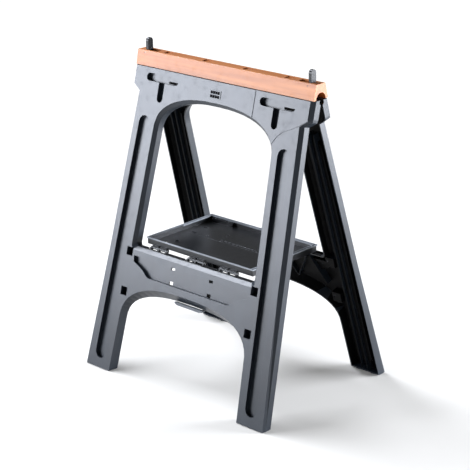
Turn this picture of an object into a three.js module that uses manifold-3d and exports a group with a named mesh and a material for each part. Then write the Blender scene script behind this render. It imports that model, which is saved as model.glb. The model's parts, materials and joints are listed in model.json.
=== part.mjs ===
// Folding sawhorse, standing open. Millimetres, +Z up, +X along the top rail, front frame on the -Y side.
// The origin is on the floor, midway between the four feet.
import * as THREE from "three";
import { mergeVertices } from "three/addons/utils/BufferGeometryUtils.js";
import Module from "manifold-3d";

const wasm = await Module();
wasm.setup();

// ---------------------------------------------------------------- driving dimensions
const workHeight = 800; // floor to the top of the rail
const footSpread = 463; // outer faces of the two frames, at the floor
const splay = THREE.MathUtils.degToRad(15); // lean of each frame when open
const footWidth = 628; // across both legs of a frame, at the floor
const shoulderWidth = 600; // across a frame, under the rail
const frameDepth = 26; // outer face to open back edge
const wall = 3.2; // moulded wall thickness of a frame
const chamfer = 9; // 45 degree edge round the outer face
const frameTop = 762; // level cut along the top of both frames
const hingeHeight = 757; // main hinge axis, on the middle plane
const footPadDrop = 2; // how far the rubber pads stand below the legs
const gap = 0.3; // between pieces that touch

const railTopHalf = 16.5;
const railBottomHalf = 24.5;
const railLength = 595;

const crossbarTop = 338; // all heights below are measured up the slope of a frame
const openingHalf = 204;
const openingShoulder = 636;
const openingShoulderHalf = 192;
const openingArch = 92;

const trayHalfWidth = 184;
const trayRim = 349;
const trayDepth = 18;
const trayReach = 118; // middle to front rim
const pivotHeight = 326; // all three tray hinges when the tray is flat
const pivotReach = 119.5; // middle to front tray hinge
const clipCentres = [-135, -4, 107]; // tray hinge clips along the front crossbar
const clipWidth = 60;

const steel = { color: 0x8d9094, roughness: 0.35, metalness: 0.9 };
const frameBlack = { color: 0x2b2e33, roughness: 0.55, metalness: 0 };
const trayBlack = { color: 0x24262a, roughness: 0.5, metalness: 0 };
const clipBlack = { color: 0x17181a, roughness: 0.45, metalness: 0 };
const railOrange = { color: 0xe8874a, roughness: 0.5, metalness: 0 };
const rubber = { color: 0x1a1a1b, roughness: 0.9, metalness: 0 };

// ---------------------------------------------------------------- from geometry to solids
function solid(geometry) {
  const bare = new THREE.BufferGeometry();
  bare.setAttribute("position", geometry.getAttribute("position"));
  bare.setIndex(geometry.getIndex());
  const merged = mergeVertices(bare, 1e-3);
  return new wasm.Manifold(
    new wasm.Mesh({
      numProp: 3,
      vertProperties: new Float32Array(merged.attributes.position.array),
      triVerts: new Uint32Array(merged.index.array),
    }),
  );
}

function box(x0, x1, y0, y1, z0, z1) {
  const geometry = new THREE.BoxGeometry(x1 - x0, y1 - y0, z1 - z0);
  geometry.translate((x0 + x1) / 2, (y0 + y1) / 2, (z0 + z1) / 2);
  return solid(geometry);
}

function rodAlongX(x0, x1, y, z, radius, sides = 12) {
  const geometry = new THREE.CylinderGeometry(radius, radius, x1 - x0, sides);
  geometry.rotateZ(Math.PI / 2);
  geometry.translate((x0 + x1) / 2, y, z);
  return solid(geometry);
}

function rodAlongY(x, y0, y1, z, radius, sides = 12) {
  const geometry = new THREE.CylinderGeometry(radius, radius, y1 - y0, sides);
  geometry.translate(x, (y0 + y1) / 2, z);
  return solid(geometry);
}

function rodAlongZ(x, y, z0, z1, radius, sides = 16) {
  const geometry = new THREE.CylinderGeometry(radius, radius, z1 - z0, sides);
  geometry.rotateX(Math.PI / 2);
  geometry.translate(x, y, (z0 + z1) / 2);
  return solid(geometry);
}

// A solid skinned through outlines in the X-Z plane, one per depth along +Y.
// Every outline runs anticlockwise as seen from -Y and has the same number of points.
function layered(layers) {
  const count = layers[0].outline.length;
  const positions = layers.flatMap(({ depth, outline }) => outline.flatMap(([x, z]) => [x, depth, z]));
  const index = [];
  const last = (layers.length - 1) * count;
  const capOf = ({ outline }) => {
    const contour = outline.map(([x, z]) => new THREE.Vector2(x, z));
    return THREE.ShapeUtils.triangulateShape(contour, []);
  };
  for (const [a, b, c] of capOf(layers[0])) index.push(a, b, c);
  for (const [a, b, c] of capOf(layers.at(-1))) index.push(last + a, last + c, last + b);
  for (let layer = 0; layer < layers.length - 1; layer++) {
    for (let i = 0; i < count; i++) {
      const near = layer * count + i;
      const nearNext = layer * count + ((i + 1) % count);
      index.push(near, near + count, nearNext);
      index.push(nearNext, near + count, nearNext + count);
    }
  }
  const geometry = new THREE.BufferGeometry();
  geometry.setAttribute("position", new THREE.Float32BufferAttribute(positions, 3));
  geometry.setIndex(index);
  return solid(geometry);
}

const prism = (outline, from, to) =>
  layered([
    { depth: from, outline },
    { depth: to, outline },
  ]);

function joined(solids) {
  return solids.reduce((whole, part) => whole.add(part));
}

function without(whole, solids) {
  return solids.reduce((left, cut) => left.subtract(cut), whole);
}

function mesh(name, shape, finish, placing = new THREE.Matrix4()) {
  const made = shape.getMesh();
  const vertices = new Float32Array(made.numVert * 3);
  for (let i = 0; i < made.numVert; i++) {
    vertices.set(made.vertProperties.subarray(i * made.numProp, i * made.numProp + 3), i * 3);
  }
  const geometry = new THREE.BufferGeometry();
  geometry.setAttribute("position", new THREE.BufferAttribute(vertices, 3));
  geometry.setIndex(new THREE.BufferAttribute(made.triVerts, 1));
  geometry.applyMatrix4(placing);
  geometry.computeVertexNormals();
  const piece = new THREE.Mesh(geometry, new THREE.MeshStandardMaterial(finish));
  piece.name = name;
  return piece;
}

// ---------------------------------------------------------------- outlines
const mirrored = (half) => [...half, ...half.map(([u, v]) => [-u, v]).reverse()];

function capsule([u0, v0], [u1, v1], radius, steps = 6) {
  const along = Math.atan2(v1 - v0, u1 - u0);
  const end = (u, v, start) =>
    Array.from({ length: steps + 1 }, (_, i) => {
      const angle = start + (Math.PI * i) / steps;
      return [u + radius * Math.cos(angle), v + radius * Math.sin(angle)];
    });
  return [...end(u1, v1, along - Math.PI / 2), ...end(u0, v0, along + Math.PI / 2)];
}

// The upper half of a superellipse, from +u round to -u.
function archPoints(halfWidth, base, rise, power, steps = 24) {
  const bow = (value) => Math.sign(value) * Math.abs(value) ** (2 / power);
  return Array.from({ length: steps + 1 }, (_, i) => {
    const angle = (Math.PI * i) / steps;
    return [halfWidth * bow(Math.cos(angle)), base + rise * bow(Math.sin(angle))];
  });
}

const rectangle = (u0, u1, v0, v1) => [
  [u0, v0],
  [u1, v0],
  [u1, v1],
  [u0, v1],
];

// ---------------------------------------------------------------- one moulded frame
// Frame space: x along the rail, y from the outer face inwards, z up the slope from the floor.
const frameToOpen = new THREE.Matrix4()
  .makeTranslation(0, -footSpread / 2, 0)
  .multiply(new THREE.Matrix4().makeRotationX(-splay));
const openToFrame = frameToOpen.clone().invert();
const turnedRound = new THREE.Matrix4().makeRotationZ(Math.PI);
const rearToOpen = turnedRound.clone().multiply(frameToOpen);

function inFrameSpace(y, z) {
  const point = new THREE.Vector3(0, y, z).applyMatrix4(openToFrame);
  return { depth: point.y, height: point.z };
}

const hinge = inFrameSpace(0, hingeHeight);
const trayPivot = inFrameSpace(-pivotReach, pivotHeight);
const hingeKnuckleRadius = 6.5;
const hingeRodRadius = 3.5;
const frontStations = [-214, 0, 214];
const rearStations = [-244, 30, 244];
const stationWidth = 28;

const legTop = 727;
const legTopHalf = 278;
const chamferFade = 330; // below this height the outer chamfer narrows towards the foot
const slopeTop = 812; // past the level cut along the top
const slopeFoot = -30; // past the level cut along the floor

function legEdge(v) {
  return THREE.MathUtils.mapLinear(v, 0, legTop, footWidth / 2, legTopHalf);
}

// The outline of a frame, made smaller by `inset`, which narrows to less than a third at the feet.
function bodyOutline(inset) {
  const share = (v) => THREE.MathUtils.mapLinear(v, 0, chamferFade, 0.3, 1);
  const faded = (v) => inset * THREE.MathUtils.clamp(share(v), 0.3, 1);
  return mirrored([
    [legEdge(slopeFoot) - faded(slopeFoot), slopeFoot],
    [legEdge(0) - faded(0), 0],
    [legEdge(chamferFade) - inset, chamferFade],
    [legTopHalf - inset, legTop],
    [shoulderWidth / 2 - inset - 1, legTop + 14],
    [shoulderWidth / 2 - inset, legTop + 21],
    [shoulderWidth / 2 - inset, slopeTop],
  ]);
}

const openingCorner = 12;

function openingOutline(grow) {
  const corner = Array.from({ length: 5 }, (_, i) => {
    const angle = (-Math.PI / 2) * (1 - i / 4);
    return [
      openingHalf + grow - openingCorner * (1 - Math.cos(angle)),
      crossbarTop - grow + openingCorner * (1 + Math.sin(angle)),
    ];
  });
  const arch = archPoints(openingShoulderHalf + grow, openingShoulder, openingArch + grow, 2.4);
  return [...corner, ...arch, ...corner.map(([u, v]) => [-u, v]).reverse()];
}

// The lower opening is taller at the outer face than at the open back.
const lowerArchBase = 140;
const lowerArchFront = { half: 219, rise: 111, foot: 227 };
const lowerArchBack = { half: 217, rise: 92, foot: 223 };

function lowerOutline({ half, rise, foot }, grow) {
  return [
    [-foot - 1 - grow, slopeFoot - 5],
    [foot + 1 + grow, slopeFoot - 5],
    [foot + grow, 0],
    ...archPoints(half + grow, lowerArchBase, rise + grow, 2.6),
    [-foot - grow, 0],
  ];
}

const beyond = 8; // how far a cutter runs past the face it starts from

function openingCutter(grow) {
  return layered([
    { depth: -beyond, outline: openingOutline(grow + chamfer) },
    { depth: 0, outline: openingOutline(grow + chamfer) },
    { depth: chamfer, outline: openingOutline(grow) },
    { depth: frameDepth + beyond, outline: openingOutline(grow) },
  ]);
}

function lowerCutter(grow) {
  return layered([
    { depth: -beyond, outline: lowerOutline(lowerArchFront, grow) },
    { depth: 0, outline: lowerOutline(lowerArchFront, grow) },
    { depth: frameDepth, outline: lowerOutline(lowerArchBack, grow) },
    { depth: frameDepth + beyond, outline: lowerOutline(lowerArchBack, grow) },
  ]);
}

const grooveDepth = 11;
const grooveRadius = 18.5;
const grooveFoot = { u: 266, v: 45 };
const grooveHead = { u: 236, v: 650 };

function grooveOutline(side, grow) {
  const foot = [side * grooveFoot.u, grooveFoot.v];
  const head = [side * grooveHead.u, grooveHead.v];
  return capsule(foot, head, grooveRadius + grow);
}

// A T-shaped recess in each shoulder: a level slot with an upright one below its middle.
const slotRadius = 10;
const slotMiddle = 193;
const slotHeight = 766;
const slotHalfLength = 46;
const slotStem = 49;

function shoulderSlots(side, grow) {
  const radius = slotRadius + grow;
  const middle = side * slotMiddle;
  return [
    capsule([middle - slotHalfLength, slotHeight], [middle + slotHalfLength, slotHeight], radius),
    capsule([middle, slotHeight - slotStem], [middle, slotHeight], radius),
  ];
}

// The wide recess along the crossbar, with a level top edge and slanting lower corners.
const panelDepth = 10;
const panelTop = 315;
const panelHalf = [
  [138, 268.5],
  [148, 273],
  [160, 283],
  [178, 292],
  [197, 299],
];

function panelOutline(grow) {
  const corner = [199 + grow, panelTop + grow];
  return mirrored([...panelHalf.map(([u, v]) => [u + grow, v - grow]), corner]);
}

// A narrow groove runs along the top edge of that recess, a little deeper than its floor.
function panelGroove(grow) {
  const half = panelHalf.at(-1)[0] + grow;
  return rectangle(-half, half, panelTop - 2 - grow, panelTop + grow);
}

// Square sockets, two beside each end of the crossbar, each with a small hole in one corner.
const socketSize = 22;
const socketMiddle = 216;
const socketHeights = [322, 218];
const socketDepth = 19;
const socketHole = 6;

function socketOutline(side, height, grow) {
  const half = socketSize / 2 + grow;
  const middle = side * socketMiddle;
  return rectangle(middle - half, middle + half, height - half, height + half);
}

// Every pocket moulded into the outer face, made `grow` larger all round.
function facePockets(grow) {
  const cut = (outline, depth) => prism(outline, -beyond, depth + grow);
  const pockets = [cut(panelOutline(grow), panelDepth), cut(panelGroove(grow), panelDepth + 4)];
  for (const side of [-1, 1]) {
    pockets.push(cut(grooveOutline(side, grow), grooveDepth));
    for (const outline of shoulderSlots(side, grow)) pockets.push(cut(outline, grooveDepth));
    for (const height of socketHeights) pockets.push(cut(socketOutline(side, height, grow), socketDepth));
  }
  return joined(pockets);
}

// The shoulders and the middle of the beam stand slightly proud of the legs.
const shoulderRise = 1.2;
const beamRise = 2.4;

function raisedFaces() {
  const shoulder = [
    [170, 640],
    [189, 665],
    [196.5, 678],
    [206, 692],
    [219, 703.5],
    [230, 710],
    [245, 716],
    [266, 727],
    [shoulderWidth / 2 - chamfer - 0.5, legTop + 15],
    [shoulderWidth / 2 - chamfer - 0.5, slopeTop],
  ];
  return [
    prism(mirrored(shoulder), -shoulderRise, 2),
    prism(rectangle(-120.5, 120.5, 690, slopeTop), -beamRise, 2),
  ];
}

// Small holes that let light through: in the sockets, under the level slots and in the crossbar recess.
function throughHoles() {
  const holes = [];
  const punch = (outline) => holes.push(prism(outline, 0, frameDepth - 2));
  for (const side of [-1, 1]) {
    for (const height of socketHeights) {
      const right = side * socketMiddle + socketSize / 2;
      punch(rectangle(right - socketHole, right, height, height + socketHole));
    }
    const slotEnd = side * slotMiddle + slotHalfLength + 4;
    punch(rectangle(slotEnd - 37, slotEnd, slotHeight - 8.5, slotHeight - 2.5));
    for (const height of [310, 273.5]) {
      const middle = side * 65.5;
      punch(rectangle(middle - 6.5, middle + 6.5, height - 4.5, height + 4.5));
    }
  }
  return holes;
}

// The hollow behind the face, walled off from every edge, opening and pocket.
function hollow() {
  const slantWall = wall * Math.SQRT2;
  const room = layered([
    { depth: wall, outline: bodyOutline(chamfer - wall + slantWall) },
    { depth: chamfer + slantWall - wall, outline: bodyOutline(wall) },
    { depth: frameDepth + beyond, outline: bodyOutline(wall) },
  ]);
  const roof = levelCut(frameTop - wall, slopeTop + 60);
  const sole = levelCut(-60, footPadDrop + wall);
  return without(room, [openingCutter(wall), lowerCutter(wall), facePockets(wall - 0.4), roof, sole]);
}

// Everything between two levels of the standing sawhorse, in frame space.
function levelCut(from, to) {
  const geometry = new THREE.BoxGeometry(800, 500, to - from);
  geometry.translate(0, -footSpread / 2, (from + to) / 2);
  geometry.applyMatrix4(openToFrame);
  return solid(geometry);
}

const ribThickness = 2.4;
const ribDepth = 22;
const lipDepth = 14;
const lipHeight = 5;

function slantedRib([u0, v0], [u1, v1]) {
  const half = ribThickness / 2 / Math.hypot(u1 - u0, v1 - v0);
  const nu = -(v1 - v0) * half;
  const nv = (u1 - u0) * half;
  const outline = [
    [u0 - nu, v0 - nv],
    [u1 - nu, v1 - nv],
    [u1 + nu, v1 + nv],
    [u0 + nu, v0 + nv],
  ];
  return prism(outline, wall - 1, ribDepth);
}

// Zigzag ribs behind the crossbar and two ribs along the inside of each leg.
function ribs() {
  const made = [];
  const trussStep = 48;
  const trussFoot = 252;
  for (let i = -4; i < 4; i++) {
    const low = [(i % 2 === 0 ? i : i + 1) * trussStep, trussFoot];
    const high = [(i % 2 === 0 ? i + 1 : i) * trussStep, crossbarTop - 4];
    made.push(slantedRib(low, high));
  }
  for (const side of [-1, 1]) {
    for (const offset of [-9, 9]) {
      made.push(slantedRib([side * grooveFoot.u + offset, 12], [side * grooveHead.u + offset, 690]));
    }
  }
  return joined(made);
}

function hingeLug(centre) {
  const [left, right] = [centre - stationWidth / 2, centre + stationWidth / 2];
  const knuckle = rodAlongX(left, right, hinge.depth, hinge.height, hingeKnuckleRadius);
  const web = box(left, right, wall - 1, hinge.depth, hinge.height - 14, hinge.height + hingeKnuckleRadius);
  return knuckle.add(web.subtract(levelCut(frameTop, slopeTop + 60)));
}

// Low lips along the inner edge of the crossbar's top, one on each side of every tray clip.
function crossbarLips() {
  const clear = clipWidth / 2 + 1;
  const ends = [-openingHalf + 2, ...clipCentres.flatMap((x) => [x - clear, x + clear]), openingHalf - 2];
  const lips = [];
  for (let i = 0; i < ends.length; i += 2) {
    lips.push(box(ends[i], ends[i + 1], lipDepth, lipDepth + 2.5, crossbarTop - 1, crossbarTop + lipHeight));
  }
  return lips;
}

function frameSolid(stations) {
  const face = layered([
    { depth: 0, outline: bodyOutline(chamfer) },
    { depth: chamfer, outline: bodyOutline(0) },
    { depth: frameDepth, outline: bodyOutline(0) },
  ]);
  const block = joined([face, ...raisedFaces()]);
  const cavity = hollow().subtract(ribs());
  const reach = shoulderWidth / 2 + 10;
  const hingeRelief = rodAlongX(-reach, reach, hinge.depth, hinge.height, hingeKnuckleRadius + 1.2, 24);
  const rodHole = rodAlongX(-reach, reach, hinge.depth, hinge.height, hingeRodRadius + gap, 24);
  const shell = without(block, [
    cavity,
    openingCutter(0),
    lowerCutter(0),
    facePockets(0),
    ...throughHoles(),
    levelCut(frameTop, slopeTop + 60),
    levelCut(-60, footPadDrop),
    hingeRelief,
  ]);
  return joined([shell, ...crossbarLips(), ...stations.map(hingeLug)]).subtract(rodHole);
}

// ---------------------------------------------------------------- top rail and board stops
const railBottom = frameTop + 0.8;
const railHalf = railLength / 2;
const railWall = 3;
const railRoof = 8;
const stopCentre = 272;
const stopThickness = 8.4;
const stopHalfWidth = 8.6;
const stopPivotHeight = 794;
const stopHeight = 830.5;
const stopPinRadius = 1.6;
const pocketInner = stopCentre - (stopHeight - stopPivotHeight) - 1.5;
const pocketOuter = stopCentre + stopThickness / 2 + gap;
const pocketFloor = stopPivotHeight - stopThickness / 2 - 1;
const tunnelRadius = 16.8;
const tunnelLength = 20;

// The tapered section of the rail, with its two top edges broken.
function railSection() {
  const edge = 1.2;
  return [
    [-railBottomHalf, railBottom],
    [railBottomHalf, railBottom],
    [railTopHalf, workHeight - edge],
    [railTopHalf - edge, workHeight],
    [-railTopHalf + edge, workHeight],
    [-railTopHalf, workHeight - edge],
  ];
}

// The open space inside the rail, which starts just below it.
function railCavitySection() {
  const roofHalf = railTopHalf - railWall + 1;
  const floorHalf = railBottomHalf - railWall;
  return [
    [-floorHalf, railBottom - 1],
    [floorHalf, railBottom - 1],
    [roofHalf, workHeight - railRoof],
    [-roofHalf, workHeight - railRoof],
  ];
}

// A section in the Y-Z plane carried along X.
function alongRail(section, from, to) {
  const made = layered([
    { depth: -to, outline: section },
    { depth: -from, outline: section },
  ]);
  const turned = made.getMesh();
  const geometry = new THREE.BufferGeometry();
  geometry.setAttribute("position", new THREE.BufferAttribute(new Float32Array(turned.vertProperties), 3));
  geometry.setIndex(new THREE.BufferAttribute(turned.triVerts, 1));
  geometry.rotateZ(Math.PI / 2);
  return solid(geometry);
}

// A shallow socket in the top of the rail that keeps a screw head or a pipe clamp below the work.
function topSocket(centre) {
  const [half, halfWidth, depth] = [13, 9, 3];
  return box(centre - half, centre + half, -halfWidth, halfWidth, workHeight - depth, workHeight + 1);
}

// The half-round tunnel moulded into each end of the rail.
function endTunnel(side, radius, length) {
  const [inner, outer] = [side * (railHalf - length), side * (railHalf + 1)];
  return rodAlongX(Math.min(inner, outer), Math.max(inner, outer), 0, railBottom, radius, 28);
}

// The pocket that a board stop folds into, made `grow` larger below and at its ends.
function stopPocket(side, half, grow) {
  const inner = side * (pocketInner - grow);
  const outer = side * (pocketOuter + grow);
  const bottom = pocketFloor - grow;
  return box(Math.min(inner, outer), Math.max(inner, outer), -half, half, bottom, workHeight + 1 - grow);
}

function topRail() {
  const sides = [-1, 1];
  const partition = (x) => box(x - railWall / 2, x + railWall / 2, -24, 24, hingeHeight + 14, workHeight);
  const cavity = without(alongRail(railCavitySection(), -railHalf + railWall, railHalf - railWall), [
    ...sides.map((side) => stopPocket(side, railBottomHalf, railWall)),
    ...[-135, 0, 135].map(partition),
    ...sides.map((side) => endTunnel(side, tunnelRadius + railWall, tunnelLength + railWall)),
  ]);
  const shell = without(alongRail(railSection(), -railHalf, railHalf), [
    cavity,
    ...[-202.5, -67.5, 67.5, 202.5].map(topSocket),
    ...sides.map((side) => stopPocket(side, stopHalfWidth + 0.6, 0)),
    ...sides.map((side) => rodAlongY(side * stopCentre, -30, 30, stopPivotHeight, stopPinRadius)),
    ...sides.map((side) => endTunnel(side, tunnelRadius, tunnelLength)),
  ]);
  const rodHole = rodAlongX(-280, 280, 0, hingeHeight, hingeRodRadius + gap, 24);
  return joined([shell, ...[-266, -26, 266].map(railHanger)]).subtract(rodHole);
}

// A lug under the roof of the rail that hangs on the hinge rod.
function railHanger(centre) {
  const [left, right] = [centre - 5.5, centre + 5.5];
  const knuckle = rodAlongX(left, right, 0, hingeHeight, hingeKnuckleRadius);
  const underside = Math.abs(centre) > 200 ? pocketFloor - railWall : workHeight - railRoof;
  return knuckle.add(box(left, right, -5.5, 5.5, hingeHeight, underside + 1));
}

function boardStop(side) {
  const half = stopHalfWidth;
  const round = Array.from({ length: 9 }, (_, i) => {
    const angle = (Math.PI * i) / 8;
    return [half * Math.cos(angle), stopHeight - half + half * Math.sin(angle)];
  });
  const heel = stopPivotHeight - stopThickness / 2;
  const tab = alongRail([[-half, heel], [half, heel], ...round], -stopThickness / 2, stopThickness / 2);
  const innerFace = (-side * stopThickness) / 2;
  const groove = (y) => box(innerFace - 1, innerFace + 1, y - 1.4, y + 1.4, 803, 826);
  const ribGrooves = [-3, 3].map(groove);
  const pinHole = rodAlongY(0, -30, 30, stopPivotHeight, stopPinRadius + gap);
  const heelRound = rodAlongY(0, -half - 1, half + 1, stopPivotHeight, stopThickness / 2, 24);
  const heelBlock = box(-20, 20, -half - 1, half + 1, heel - 1, stopPivotHeight);
  return without(tab, [...ribGrooves, pinHole, heelBlock.subtract(heelRound)]);
}

// ---------------------------------------------------------------- tray
const trayFloor = trayRim - trayDepth;
const trayWall = 3;
const rimHeight = 3;
const rimOut = 2;
const lipWidth = 9;
const lipBead = 2.2; // raised edge on each side of the lip
const channelDepth = 2;
const splitAt = 4.5; // the leaves part just behind the middle hinge
const knuckleRadius = 3.6;
const trayPinRadius = 1.8;
const foldCentres = [-112, 0, 112];
const lugWidth = 5; // of the tray clips

// One half of the tray, a pan open at the split.
// `near` is the split edge and `far` the walled edge, both along Y.
function trayPan(near, far, farLip) {
  const outward = Math.sign(far - near);
  const bodyFar = far - outward * rimOut;
  const span = (a, b) => [Math.min(a, b), Math.max(a, b)];
  const half = trayHalfWidth;
  const body = box(-half + rimOut, half - rimOut, ...span(near, bodyFar), trayFloor, trayRim);
  const rim = box(-half, half, ...span(near, far), trayRim - rimHeight, trayRim);
  const wallFar = bodyFar - outward * trayWall;
  const inner = half - rimOut - trayWall;
  const panFloor = trayFloor + trayWall;
  const pan = box(-inner, inner, ...span(near - outward, wallFar), panFloor, trayRim - rimHeight);
  const lipFar = far - outward * farLip;
  const cutAbove = (reach, to, bottom, top) =>
    box(-reach, reach, ...span(near - outward, to), trayRim + bottom, trayRim + top);
  const mouth = cutAbove(half - lipWidth, lipFar, -5, 1);
  const channelOut = cutAbove(half - lipBead, far - outward * lipBead, -channelDepth, 1);
  const channelIn = cutAbove(half - lipWidth + lipBead, lipFar + outward * lipBead, -2, 2);
  return without(body.add(rim), [pan, mouth, channelOut.subtract(channelIn)]);
}

function toolHoles(pan, holes) {
  return without(
    pan,
    holes.map(([x, y, radius]) => rodAlongZ(x, y, trayFloor - 1, trayFloor + trayWall + 1, radius, 16)),
  );
}

// A row of low stops along the fold that keep small parts out of the gap.
function foldStops(y, places) {
  const top = trayFloor + trayWall + 2;
  return places.map(([x, length]) => {
    const half = length / 2;
    return box(x - half, x + half, y - 1.5, y + 1.5, trayFloor + 1, top);
  });
}

// A rack for driver bits against the rear wall, open to the top.
function bitRack() {
  const count = 8;
  const spacing = 9;
  const start = -168;
  const back = trayReach - rimOut - trayWall + 1;
  const bar = box(start, start + count * spacing, back - 10, back, trayFloor + 1, trayRim - 4);
  const holes = Array.from({ length: count }, (_, i) => {
    const x = start + (i + 0.5) * spacing;
    return box(x - 3, x + 3, back - 8, back - 3, trayFloor + trayWall + 2, trayRim);
  });
  return without(bar, holes);
}

// Knuckles of the front leaf that turn on the clip pins, between the lugs of each clip.
function frontKnuckles() {
  const made = [];
  for (const centre of clipCentres) {
    for (const [left, right] of knuckleSpans(centre)) {
      const y = -pivotReach;
      made.push(rodAlongX(left, right, y, pivotHeight, knuckleRadius));
      made.push(box(left, right, y - 1.5, y + 8, pivotHeight, trayFloor + trayWall));
    }
  }
  return made;
}

// The two lengths of a tray hinge between the three lugs of its clip.
function knuckleSpans(centre) {
  const inner = lugWidth / 2 + 0.5;
  const outer = clipWidth / 2 - lugWidth - 0.5;
  return [
    [centre - outer, centre - inner],
    [centre + inner, centre + outer],
  ];
}

// Quarter hooks of the rear leaf: they rest on the rear pins from above and from outside.
function rearHooks() {
  const made = [];
  const outer = knuckleRadius + 0.2;
  const clear = trayPinRadius + 0.5;
  for (const centre of clipCentres.map((x) => -x)) {
    for (const [left, right] of knuckleSpans(centre)) {
      const block = box(left, right, pivotReach - 7, pivotReach + outer, pivotHeight, trayFloor + trayWall);
      const cut = (y0, y1, z0, z1) => box(left - 1, right + 1, y0, y1, z0, z1);
      const seat = rodAlongX(left - 1, right + 1, pivotReach, pivotHeight, clear);
      const wayOut = cut(pivotReach - 12, pivotReach, pivotHeight - 4, pivotHeight + clear);
      const below = cut(pivotReach - 12, pivotReach + clear, pivotHeight - 4, pivotHeight);
      made.push(without(block, [seat, wayOut, below]));
    }
  }
  return made;
}

function foldKnuckle(left, right, toRear) {
  const barrel = rodAlongX(left, right, 0, pivotHeight, knuckleRadius);
  if (!toRear) return barrel.add(box(left, right, -3.4, 3, pivotHeight, trayFloor + 1));
  const arm = box(left, right, 0, splitAt + 8, pivotHeight - 3, trayFloor - 0.6);
  return joined([barrel, arm, box(left, right, splitAt + 1, splitAt + 8, pivotHeight - 3, trayFloor + 1)]);
}

function foldPinHoles() {
  return foldCentres.map((x) => rodAlongX(x - 25, x + 25, 0, pivotHeight, trayPinRadius + gap));
}

function trayFrontLeaf() {
  const pan = trayPan(splitAt - gap, -trayReach, 3);
  const holes = [
    [-150, -84, 6],
    [150, -84, 6],
    [-60, -84, 4],
    [60, -84, 4],
  ];
  const pairOfKnuckles = (x) => [foldKnuckle(x - 20, x - 7.5), foldKnuckle(x + 7.5, x + 20)];
  const clipPinHole = rodAlongX(-200, 200, -pivotReach, pivotHeight, trayPinRadius + gap);
  const [ringX, ringY] = [-131, -62];
  const ring = rodAlongZ(ringX, ringY, trayFloor + 1, trayFloor + trayWall + 1.6, 7, 24);
  const bore = rodAlongZ(ringX, ringY, trayFloor + 1.4, trayRim, 4.5, 24);
  const floor = toolHoles(pan, holes).add(ring).subtract(bore);
  const whole = joined([floor, ...frontKnuckles(), ...foldCentres.flatMap(pairOfKnuckles)]);
  return without(whole, [clipPinHole, ...foldPinHoles()]);
}

function trayRearLeaf() {
  const pan = trayPan(splitAt + gap, trayReach, lipWidth);
  const holes = [
    [-150, 60, 6],
    [150, 60, 6],
    [-60, 50, 4],
    [60, 50, 4],
  ];
  const middleKnuckles = foldCentres.map((x) => foldKnuckle(x - 7, x + 7, true));
  const lowStops = [
    [-145, 12],
    [-97, 8],
    ...Array.from({ length: 10 }, (_, i) => [-45 + i * 13, 7]),
    [110, 12],
    [145, 12],
  ];
  const fittings = [...foldStops(splitAt + 9, lowStops), bitRack()];
  const whole = joined([toolHoles(pan, holes), ...fittings, ...rearHooks(), ...middleKnuckles]);
  return without(whole, foldPinHoles());
}

// ---------------------------------------------------------------- small pieces
// A clip snapped on top of a crossbar: a foot with three lugs that hold one tray pin. Frame space.
function trayClip(centre) {
  const half = clipWidth / 2;
  const seat = crossbarTop + gap;
  const base = box(centre - half, centre + half, 9, 17.5, seat, crossbarTop + 1.7);
  const lugs = [-1, 0, 1].map((place) => {
    const left = centre + place * (half - lugWidth / 2) - lugWidth / 2;
    const right = left + lugWidth;
    const post = box(left, right, 17, frameDepth - 0.4, seat, trayPivot.height);
    return post.add(rodAlongX(left, right, trayPivot.depth, trayPivot.height, knuckleRadius));
  });
  const hole = rodAlongX(centre - 40, centre + 40, trayPivot.depth, trayPivot.height, trayPinRadius + 0.15);
  return joined([base, ...lugs]).subtract(hole);
}

function trayPin(centre) {
  const half = clipWidth / 2;
  return rodAlongX(centre - half, centre + half, trayPivot.depth, trayPivot.height, trayPinRadius - 0.1);
}

const foldPin = (centre) => rodAlongX(centre - 20, centre + 20, 0, pivotHeight, trayPinRadius - 0.1);

const rodReach = 277;

const hingeRod = () => rodAlongX(-rodReach, rodReach, 0, hingeHeight, hingeRodRadius, 24);

// A push-on cap that hides the end of the hinge rod.
function rodCap(side) {
  const inner = side * (rodReach - 4);
  const outer = side * (rodReach + 3);
  const cap = rodAlongX(Math.min(inner, outer), Math.max(inner, outer), 0, hingeHeight, 5.4, 24);
  return cap.subtract(rodAlongX(-rodReach - gap, rodReach + gap, 0, hingeHeight, hingeRodRadius + 0.15, 24));
}

// A round rubber pad under a leg.
const footPad = (x, y) => rodAlongZ(x, y, 0, footPadDrop - gap / 3, 9, 24);

function stopPin(side) {
  return rodAlongY(side * stopCentre, -railTopHalf, railTopHalf, stopPivotHeight, stopPinRadius - 0.1);
}

// A plain badge on the middle of the front beam: a thin plate with two rows of raised blocks.
function badge() {
  const [left, blockWidth, pitch, rowHeight] = [-21.5, 6.6, 7.8, 7];
  const plate = prism(rectangle(-24, 12, 747, 768), -beamRise - 1.1, -beamRise - gap);
  const blocks = [];
  for (const low of [749, 758.8]) {
    for (let i = 0; i < 4; i++) {
      const start = left + i * pitch;
      const outline = rectangle(start, start + blockWidth, low, low + rowHeight);
      blocks.push(prism(outline, -beamRise - 1.6, -beamRise - 1));
    }
  }
  return joined([plate, ...blocks]);
}

// A hand grip under the middle of the front crossbar.
function carryGrip() {
  const outline = mirrored([
    [38, 223.5],
    [45, 225.5],
    [49, 229.5],
    [49, 231],
  ]);
  return prism(outline, 14, frameDepth - 0.5);
}

// ---------------------------------------------------------------- the assembly
const group = new THREE.Group();
group.name = "folding_sawhorse";

function put(name, shape, finish, placing) {
  group.add(mesh(name, shape, finish, placing));
}

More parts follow.
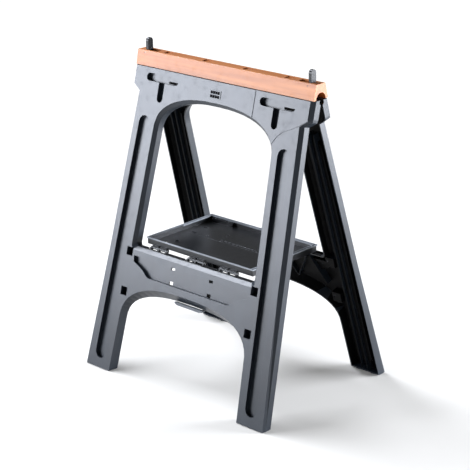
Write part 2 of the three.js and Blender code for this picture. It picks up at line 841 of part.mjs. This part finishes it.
put("front_frame", frameSolid(frontStations), frameBlack, frameToOpen);
put("rear_frame", frameSolid(rearStations.map((x) => -x)), frameBlack, rearToOpen);
put("top_rail", topRail(), railOrange);
put("hinge_rod", hingeRod(), steel);
put("tray_front_leaf", trayFrontLeaf(), trayBlack);
put("tray_rear_leaf", trayRearLeaf(), trayBlack);
put("name_badge", badge(), clipBlack, frameToOpen);
put("carry_grip", carryGrip(), frameBlack, frameToOpen);

for (const [side, sideName] of [[-1, "left"], [1, "right"]]) {
  const standing = new THREE.Matrix4().makeTranslation(side * stopCentre, 0, 0);
  put("hinge_rod_cap_" + sideName, rodCap(side), steel);
  put("board_stop_" + sideName, boardStop(side), clipBlack, standing);
  put("board_stop_pin_" + sideName, stopPin(side), steel);
  for (const [frameName, direction] of [["front", -1], ["rear", 1]]) {
    for (const [place, x] of [["inner", 243], ["outer", 291]]) {
      put(`foot_pad_${frameName}_${sideName}_${place}`, footPad(side * x, direction * 213), rubber);
    }
  }
}

["left", "middle", "right"].forEach((place, i) => {
  const front = clipCentres[i];
  const rear = clipCentres[2 - i];
  put("front_tray_clip_" + place, trayClip(front), clipBlack, frameToOpen);
  put("front_tray_pin_" + place, trayPin(front), steel, frameToOpen);
  put("rear_tray_clip_" + place, trayClip(rear), clipBlack, rearToOpen);
  put("rear_tray_pin_" + place, trayPin(rear), steel, rearToOpen);
  put("tray_fold_pin_" + place, foldPin(foldCentres[i]), steel);
});

export default group;
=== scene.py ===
"""The look of a folding sawhorse: moulded black frames, an orange rail and a folding tool tray."""

import json
import math

import bmesh
import bpy
from mathutils import Matrix, Vector
from mathutils.bvhtree import BVHTree


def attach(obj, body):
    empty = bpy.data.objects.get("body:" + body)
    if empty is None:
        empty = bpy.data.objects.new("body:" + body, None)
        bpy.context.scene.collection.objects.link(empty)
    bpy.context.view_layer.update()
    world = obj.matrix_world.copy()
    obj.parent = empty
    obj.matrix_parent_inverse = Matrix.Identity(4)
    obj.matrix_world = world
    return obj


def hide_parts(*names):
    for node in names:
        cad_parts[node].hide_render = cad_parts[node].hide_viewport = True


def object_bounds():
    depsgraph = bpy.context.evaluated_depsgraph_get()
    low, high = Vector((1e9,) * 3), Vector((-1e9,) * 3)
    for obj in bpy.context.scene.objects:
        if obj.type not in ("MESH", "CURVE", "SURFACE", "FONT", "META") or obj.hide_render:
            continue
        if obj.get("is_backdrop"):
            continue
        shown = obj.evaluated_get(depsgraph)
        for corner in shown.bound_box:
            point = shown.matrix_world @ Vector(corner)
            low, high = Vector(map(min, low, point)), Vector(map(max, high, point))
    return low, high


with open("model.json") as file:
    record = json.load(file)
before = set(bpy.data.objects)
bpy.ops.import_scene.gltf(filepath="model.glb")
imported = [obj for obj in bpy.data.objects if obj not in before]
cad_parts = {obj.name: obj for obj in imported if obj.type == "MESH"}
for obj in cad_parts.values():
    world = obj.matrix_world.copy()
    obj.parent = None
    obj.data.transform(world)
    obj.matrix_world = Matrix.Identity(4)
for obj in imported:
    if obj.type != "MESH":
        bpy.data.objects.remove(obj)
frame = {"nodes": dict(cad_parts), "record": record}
cad_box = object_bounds()

MM = 0.001

# The colour sockets of a Mix node, which has a set of sockets for each kind of data.
MIX_FACTOR = 0
MIX_FIRST = 6
MIX_SECOND = 7
MIX_RESULT = 2


# ---------------------------------------------------------------- small helpers
def linear(hex_colour):
    """An sRGB hex colour as linear RGBA."""

    def channel(pair):
        value = int(pair, 16) / 255
        return value / 12.92 if value <= 0.04045 else ((value + 0.055) / 1.055) ** 2.4

    return (*[channel(hex_colour[i : i + 2]) for i in (1, 3, 5)], 1.0)


def node(material, kind, settings=None, inputs=None):
    """Adds one shader node with its settings, and its inputs as values or as sockets to link from."""
    made = material.node_tree.nodes.new("ShaderNode" + kind)
    for name, value in (settings or {}).items():
        setattr(made, name, value)
    for name, value in (inputs or {}).items():
        if isinstance(value, bpy.types.NodeSocket):
            material.node_tree.links.new(value, made.inputs[name])
        else:
            made.inputs[name].default_value = value
    return made


def per_mm(*sizes):
    """Texture scales from the real sizes of a pattern in millimetres."""
    scales = [1 / (size * MM) for size in sizes]
    return scales[0] if len(scales) == 1 else scales


def start_material(name):
    """A new material without any nodes."""
    material = bpy.data.materials.new(name)
    material.use_nodes = True
    material.node_tree.nodes.clear()
    return material


# ---------------------------------------------------------------- materials
GRAIN_DEPTH = 0.3  # mm
RUBBED_EXTRA_ROUGHNESS = 0.09
EDGE_RELIEF = 0.03  # handling has nearly worn the grain off an edge
GLOW_STARTS = 1.4  # m from the middle of the floor
GLOW_IS_FULL = 4.5  # m
GLOW_STRENGTH = 0.8
WHITE = "#FFFFFF"


def moulded_polypropylene(
    name,
    base,
    streak,
    roughness,
    grain_mm=2.0,
    relief=0.3,
    specular_level=0.5,
    flow_mm=(70, 70, 330),
):
    """Injection-moulded polypropylene: satin, with spark-eroded grain, faint flow marks and dull patches.

    The real grain is about half a millimetre. It is drawn coarser, except on the small clips, so that
    it shows.
    """
    material = start_material(name)
    place = node(material, "TexCoord").outputs["Object"]
    # The melt leaves broad soft bands, lighter than the base colour, along the way it ran.
    along = node(material, "Mapping", inputs={"Vector": place, "Scale": per_mm(*flow_mm)})
    flow = node(material, "TexNoise", inputs={"Vector": along.outputs[0], "Scale": 1.0, "Detail": 4.0})
    tone = node(
        material,
        "MapRange",
        inputs={"Value": flow.outputs["Fac"], "From Min": 0.35, "From Max": 0.7},
    )
    colour = node(
        material,
        "Mix",
        {"data_type": "RGBA"},
        {MIX_FACTOR: tone.outputs["Result"], MIX_FIRST: linear(base), MIX_SECOND: linear(streak)},
    )
    # Handling rubs small dull patches into the satin face.
    scuffs = node(
        material,
        "TexNoise",
        inputs={"Vector": place, "Scale": per_mm(18), "Detail": 6.0, "Roughness": 0.7},
    )
    rubbed = node(
        material,
        "MapRange",
        inputs={"Value": scuffs.outputs["Fac"], "From Min": 0.52, "From Max": 0.75},
    )
    rough = node(
        material,
        "MapRange",
        inputs={
            "Value": rubbed.outputs["Result"],
            "To Min": roughness,
            "To Max": roughness + RUBBED_EXTRA_ROUGHNESS,
        },
    )
    grain = node(material, "TexNoise", inputs={"Vector": place, "Scale": per_mm(grain_mm), "Detail": 3.0})
    bump = node(
        material,
        "Bump",
        inputs={"Height": grain.outputs["Fac"], "Strength": relief, "Distance": GRAIN_DEPTH * MM},
    )
    shader = node(
        material,
        "BsdfPrincipled",
        inputs={
            "Base Color": colour.outputs[MIX_RESULT],
            "Roughness": rough.outputs["Result"],
            "IOR": 1.49,
            "Specular IOR Level": specular_level,
            "Normal": bump.outputs["Normal"],
        },
    )
    node(material, "OutputMaterial", inputs={"Surface": shader.outputs["BSDF"]})
    return material


def zinc_plated_steel():
    """Drawn steel rod with a thin zinc plating: bright, with fine drawing lines in its gloss."""
    material = start_material("zinc_plated_steel")
    place = node(material, "TexCoord").outputs["Object"]
    # The lines are drawn out along X, the way that the hinge rod and the tray pins lie.
    stretched = node(material, "Mapping", inputs={"Vector": place, "Scale": per_mm(33, 1.1, 1.1)})
    lines = node(material, "TexNoise", inputs={"Vector": stretched.outputs[0], "Scale": 1.0, "Detail": 2.0})
    rough = node(
        material,
        "MapRange",
        inputs={"Value": lines.outputs["Fac"], "To Min": 0.25, "To Max": 0.45},
    )
    shader = node(
        material,
        "BsdfPrincipled",
        inputs={"Base Color": linear("#A9ACAF"), "Metallic": 1.0, "Roughness": rough.outputs["Result"]},
    )
    node(material, "OutputMaterial", inputs={"Surface": shader.outputs["BSDF"]})
    return material


def natural_rubber():
    """Black moulded rubber: dull, with a dusty bloom."""
    material = start_material("natural_rubber")
    place = node(material, "TexCoord").outputs["Object"]
    bloom = node(material, "TexNoise", inputs={"Vector": place, "Scale": per_mm(4.5), "Detail": 4.0})
    colour = node(
        material,
        "Mix",
        {"data_type": "RGBA"},
        {MIX_FACTOR: bloom.outputs["Fac"], MIX_FIRST: linear("#0C0C0D"), MIX_SECOND: linear("#2C2C2D")},
    )
    shader = node(
        material,
        "BsdfPrincipled",
        inputs={"Base Color": colour.outputs[MIX_RESULT], "Roughness": 0.85, "IOR": 1.52},
    )
    node(material, "OutputMaterial", inputs={"Surface": shader.outputs["BSDF"]})
    return material


def matt_ink():
    """Screen-printed matt black ink: it lacks the highlight that the plastic round it shows."""
    material = start_material("matt_black_ink")
    shader = node(
        material,
        "BsdfPrincipled",
        inputs={"Base Color": linear("#020202"), "Roughness": 1.0, "IOR": 1.15},
    )
    node(material, "OutputMaterial", inputs={"Surface": shader.outputs["BSDF"]})
    return material


def painted_floor():
    """Pale matt paint on a studio floor. It glows further out, so that it fades to white all round."""
    material = start_material("painted_floor")
    place = node(material, "NewGeometry").outputs["Position"]
    reach = node(material, "VectorMath", {"operation": "LENGTH"}, {"Vector": place})
    glow = node(
        material,
        "MapRange",
        {"interpolation_type": "SMOOTHSTEP"},
        {
            "Value": reach.outputs["Value"],
            "From Min": GLOW_STARTS,
            "From Max": GLOW_IS_FULL,
            "To Min": 0.0,
            "To Max": GLOW_STRENGTH,
        },
    )
    shader = node(
        material,
        "BsdfPrincipled",
        inputs={
            "Base Color": linear("#DAD7D0"),
            "Roughness": 0.95,
            "Emission Color": linear(WHITE),
            "Emission Strength": glow.outputs["Result"],
        },
    )
    node(material, "OutputMaterial", inputs={"Surface": shader.outputs["BSDF"]})
    return material


FRAME_BLACK = "#161C24"
FRAME_STREAK = "#1F2730"
FINISHES = {
    "frame_plastic": moulded_polypropylene("frame_polypropylene", FRAME_BLACK, FRAME_STREAK, 0.36),
    "tray_plastic": moulded_polypropylene("tray_polypropylene", "#121417", "#191B1E", 0.36),
    "clip_plastic": moulded_polypropylene(
        "clip_polypropylene", "#08090A", "#0E0F10", 0.34, grain_mm=0.5, specular_level=0.3
    ),
    "badge_plastic": moulded_polypropylene("badge_polypropylene", FRAME_BLACK, FRAME_STREAK, 0.36),
    "rail_plastic": moulded_polypropylene(
        "rail_polypropylene", "#9E5B29", "#BE783E", 0.45, flow_mm=(330, 14, 14)
    ),
    "steel": zinc_plated_steel(),
    "rubber": natural_rubber(),
}
# Painted highlight: the rounded edges of a moulding get a paler colour, so that they show a thin line of
# light.
PAINTED_HIGHLIGHT_EDGES = {
    "frame_plastic": moulded_polypropylene(
        "frame_painted_highlight_polypropylene", "#5C656F", "#737D87", 0.3, relief=EDGE_RELIEF
    ),
    "tray_plastic": moulded_polypropylene(
        "tray_painted_highlight_polypropylene", "#74797F", "#93989E", 0.28, relief=EDGE_RELIEF
    ),
    "clip_plastic": moulded_polypropylene(
        "clip_painted_highlight_polypropylene", "#101113", "#191A1C", 0.28, relief=EDGE_RELIEF
    ),
    "rail_plastic": moulded_polypropylene(
        "rail_painted_highlight_polypropylene", "#C27A42", "#DE9E68", 0.38, relief=EDGE_RELIEF
    ),
}
# Painted shade: a near-black, dull finish for the hollow insides, crossbar ledges, tray rim channel and
# stop backs.
PAINTED_SHADE_MATERIAL = moulded_polypropylene(
    "painted_shade_polypropylene", "#030304", "#060607", 0.62, specular_level=0.12
)
RAISED_PRINT = matt_ink()


# ---------------------------------------------------------------- camera, light and floor
# The lens and the sensor are in millimetres, other lengths in metres.
CAMERA_AZIMUTH = math.radians(44)
CAMERA_ELEVATION = math.radians(19.54)
CAMERA_ROLL = math.radians(-1.22)
CAMERA_DISTANCE = 4.0
CAMERA_AIM = Vector((0.0108, 0.0028, 0.3652))
CAMERA_LENS = 122.4
CAMERA_SENSOR = 36
SOFTBOX_AIM = Vector((0, 0, 0.45))
SOFTBOX_DISTANCE = 3.4
SOFTBOX_TINT = "#EFF4FF"
WORLD_STRENGTH = 0.2
FLOOR_REACH = 30


def aimed(azimuth, elevation, roll=0.0):
    """A rotation looking inwards from a bearing, and the way back out. Azimuth 0 is the front."""
    back = Vector(
        (
            math.sin(azimuth) * math.cos(elevation),
            -math.cos(azimuth) * math.cos(elevation),
            math.sin(elevation),
        )
    )
    level = Vector((math.cos(azimuth), math.sin(azimuth), 0))
    up = back.cross(level)
    right = level * math.cos(roll) + up * math.sin(roll)
    return Matrix((right, back.cross(right), back)).transposed().to_4x4(), back


def add_camera():
    data = bpy.data.cameras.new("camera")
    data.lens = CAMERA_LENS
    data.sensor_width = CAMERA_SENSOR
    turn, back = aimed(CAMERA_AZIMUTH, CAMERA_ELEVATION, CAMERA_ROLL)
    camera = bpy.data.objects.new("camera", data)
    camera.matrix_world = Matrix.Translation(CAMERA_AIM + back * CAMERA_DISTANCE) @ turn
    bpy.context.scene.collection.objects.link(camera)
    bpy.context.scene.camera = camera


def add_softbox(name, azimuth, elevation, width, height, power):
    """A rectangular light aimed at the sawhorse: bearings in degrees, sizes in metres."""
    data = bpy.data.lights.new(name, "AREA")
    data.shape = "RECTANGLE"
    data.size = width
    data.size_y = height
    data.energy = power
    data.color = linear(SOFTBOX_TINT)[:3]
    turn, back = aimed(math.radians(azimuth), math.radians(elevation))
    light = bpy.data.objects.new(name, data)
    light.matrix_world = Matrix.Translation(SOFTBOX_AIM + back * SOFTBOX_DISTANCE) @ turn
    bpy.context.scene.collection.objects.link(light)


def add_world():
    world = bpy.data.worlds.new("studio")
    world.use_nodes = True
    background = world.node_tree.nodes["Background"]
    background.inputs["Color"].default_value = linear(WHITE)
    background.inputs["Strength"].default_value = WORLD_STRENGTH
    bpy.context.scene.world = world
    bpy.context.scene.view_settings.view_transform = "Standard"


def add_floor():
    corners = [
        (-FLOOR_REACH, -FLOOR_REACH, 0),
        (FLOOR_REACH, -FLOOR_REACH, 0),
        (FLOOR_REACH, FLOOR_REACH, 0),
        (-FLOOR_REACH, FLOOR_REACH, 0),
    ]
    mesh = bpy.data.meshes.new("floor")
    mesh.from_pydata(corners, [], [range(len(corners))])
    mesh.materials.append(painted_floor())
    floor = bpy.data.objects.new("floor", mesh)
    bpy.context.scene.collection.objects.link(floor)
    floor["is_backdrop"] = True


# ---------------------------------------------------------------- moulded pieces with rounded edges
# All lengths in this section are in millimetres.
EDGE_RADIUS = {
    "frame_plastic": 1.5,
    "tray_plastic": 0.7,
    "clip_plastic": 0.4,
    "badge_plastic": 0.2,
    "rail_plastic": 1.0,
    "steel": 0.4,
    "rubber": 0.3,
}
# Every piece has four finishes: its own first, and then these.
# Then the edge finish, a painted highlight on most pieces, then painted shade, then print.
EDGE_HIGHLIGHT_SLOT = 1
PAINTED_SHADE_SLOT = 2
PRINT_FINISH = 3

SHARP_FROM = math.radians(22)
FLAT_WITHIN = math.radians(0.6)
CORNERS_MEET_WITHIN = 0.005
# Which way a face looks, as the cosine of its normal with a direction.
SQUARE_ON = 0.98  # straight along the direction
NEARLY_SQUARE_ON = 0.9  # along it, or leaning a little
TURNED_BACK = -0.5  # the other way
UPRIGHT = 0.1  # the most that an upright face leans
# Room for small steps and chamfers when a face is looked for by its place.
SLACK = 1.0
FINE_SLACK = 0.2

FRAME_SPLAY = math.radians(15)
FRAME_DEPTH = 26.0
HOLLOW_WIDTH = 120.0
FOOT_REACH = 231.5  # from the middle plane out to the foot of the outer face
CROSSBAR_TOP = 338.0  # up the slope of the frame
LIP_HEIGHT = 5.0
OPENING_HALF = 192.0  # half the width of the opening over the crossbar
CHANNEL_DEPTH = 2.0
INKED_DEPTH = 0.4  # enough to take in the middles of the sides of the badge's blocks
TRAY_LEAVES = ("tray_front_leaf", "tray_rear_leaf")
INWARD = {"board_stop_left": Vector((1, 0, 0)), "board_stop_right": Vector((-1, 0, 0))}
OUTWARD = {
    "front_frame": Vector((0, -math.cos(FRAME_SPLAY), math.sin(FRAME_SPLAY))),
    "rear_frame": Vector((0, math.cos(FRAME_SPLAY), math.sin(FRAME_SPLAY))),
}


def join_flat_faces(mesh):
    """Turns the triangles back into whole flat faces with shared corners."""
    work = bmesh.new()
    work.from_mesh(mesh)
    bmesh.ops.remove_doubles(work, verts=work.verts, dist=CORNERS_MEET_WITHIN * MM)
    bmesh.ops.dissolve_limit(work, angle_limit=FLAT_WITHIN, verts=work.verts, edges=work.edges)
    work.to_mesh(mesh)
    work.free()


def faces_inside(mesh, outward):
    """The faces in the open back of a frame, which get painted shade: they look into the hollow, which is
    open behind them.
    """
    tree = BVHTree.FromPolygons([v.co for v in mesh.vertices], [face.vertices for face in mesh.polygons])
    outer_plane = max(outward.dot(corner.co) for corner in mesh.vertices)
    for face in mesh.polygons:
        start = face.center + face.normal * SLACK * MM
        open_behind = tree.ray_cast(start, -outward)[0] is None
        if face.normal.dot(outward) < TURNED_BACK:
            depth = outer_plane - outward.dot(face.center)
            looks_in = depth < (FRAME_DEPTH - SLACK) * MM
        else:
            looks_in = tree.ray_cast(start, face.normal, HOLLOW_WIDTH * MM)[0] is not None
        if open_behind and looks_in:
            yield face


def crossbar_ledge(mesh, outward):
    """The level top of a crossbar and the lips on it, which get painted shade."""
    up_slope = Vector((0, -outward.z * math.copysign(1, outward.y), abs(outward.y)))
    highest = (CROSSBAR_TOP + LIP_HEIGHT + SLACK) * MM
    for face in mesh.polygons:
        height = up_slope.dot(face.center) + outward.z * FOOT_REACH * MM
        in_opening = abs(face.center.x) < OPENING_HALF * MM and height < highest
        level_top = face.normal.dot(up_slope) > SQUARE_ON and height > (CROSSBAR_TOP - SLACK) * MM
        on_a_lip = height > (CROSSBAR_TOP + FINE_SLACK) * MM
        if in_opening and (level_top or on_a_lip):
            yield face


def rim_beads(mesh):
    """The two beads round the rim of the tray, which get the pale painted-highlight edge finish."""
    rim = max(corner.co.z for corner in mesh.vertices)
    for face in mesh.polygons:
        on_top = face.normal.z > SQUARE_ON and face.center.z > rim - FINE_SLACK * MM
        on_side = abs(face.normal.z) < UPRIGHT and face.center.z > rim - CHANNEL_DEPTH * MM
        if on_top or on_side:
            yield face


def rim_channel(mesh):
    """The floor of the channel between those beads, which gets painted shade."""
    rim = max(corner.co.z for corner in mesh.vertices)
    lowest = rim - (CHANNEL_DEPTH + FINE_SLACK) * MM
    for face in mesh.polygons:
        if face.normal.z > SQUARE_ON and lowest < face.center.z < rim - FINE_SLACK * MM:
            yield face


def hollow_back(mesh, inward):
    """The recessed side of a board stop, which faces the middle of the rail and gets painted shade."""
    for face in mesh.polygons:
        if face.normal.dot(inward) > NEARLY_SQUARE_ON:
            yield face


def raised_faces(mesh, outward):
    """The tops and sides of the blocks on the badge."""
    top = max(outward.dot(face.center) for face in mesh.polygons)
    for face in mesh.polygons:
        if outward.dot(face.center) > top - INKED_DEPTH * MM:
            yield face


def special_faces(name, mesh):
    """The faces of a piece that have another finish than the piece itself."""
    if name in OUTWARD:
        # Painted shade inside the hollow and on the crossbar ledge.
        yield PAINTED_SHADE_SLOT, faces_inside(mesh, OUTWARD[name])
        yield PAINTED_SHADE_SLOT, crossbar_ledge(mesh, OUTWARD[name])
    if name in TRAY_LEAVES:
        # Painted highlight on the rim beads, painted shade in the channel between them.
        yield EDGE_HIGHLIGHT_SLOT, rim_beads(mesh)
        yield PAINTED_SHADE_SLOT, rim_channel(mesh)
    if name in INWARD:
        # Painted shade on the hollow side of a board stop.
        yield PAINTED_SHADE_SLOT, hollow_back(mesh, INWARD[name])
    if name == "name_badge":
        yield PRINT_FINISH, raised_faces(mesh, OUTWARD["front_frame"])


def round_edges(piece, radius):
    """Rounds the sharp edges in the edge finish (a paler painted highlight on most pieces), and keeps the
    flat faces evenly lit.
    """
    bevel = piece.modifiers.new("rounded_edges", "BEVEL")
    bevel.width = radius * MM
    bevel.segments = 2
    bevel.limit_method = "ANGLE"
    bevel.angle_limit = SHARP_FROM
    bevel.material = EDGE_HIGHLIGHT_SLOT
    flat = piece.modifiers.new("flat_faces_stay_flat", "WEIGHTED_NORMAL")
    flat.keep_sharp = True


def moulded_copy(name, slot_name):
    """The shape of a designed piece with moulded-in edge rounding and smooth curves."""
    piece = bpy.data.objects.new(name + "_moulded", frame["nodes"][name].data.copy())
    bpy.context.scene.collection.objects.link(piece)
    mesh = piece.data
    join_flat_faces(mesh)
    mesh.shade_smooth()
    mesh.set_sharp_from_angle(angle=SHARP_FROM)
    mesh.materials.clear()
    own = FINISHES[slot_name]
    # Own colour, edges with painted highlight, painted shade, and print.
    for finish in (own, PAINTED_HIGHLIGHT_EDGES.get(slot_name, own), PAINTED_SHADE_MATERIAL, RAISED_PRINT):
        mesh.materials.append(finish)
    for finish, faces in special_faces(name, mesh):
        for face in faces:
            face.material_index = finish
    round_edges(piece, EDGE_RADIUS[slot_name])
    return piece


def add_moulded_pieces():
    slots = {part["node"]: part["material_slot"] for part in frame["record"]["subparts"]}
    for body, names in frame["record"]["behaviour"]["bodies"].items():
        for name in names:
            piece = moulded_copy(name, slots[name])
            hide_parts(name)
            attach(piece, body)


add_camera()
add_softbox("front_left", azimuth=-44, elevation=12, width=1.9, height=1.5, power=172)
add_softbox("high_left", azimuth=-88, elevation=50, width=1.4, height=1.4, power=150)
add_softbox("right_rear", azimuth=132, elevation=6, width=2.2, height=0.9, power=300)
add_world()
add_floor()
add_moulded_pieces()

[[list(corner) for corner in box] for box in (cad_box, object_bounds())]
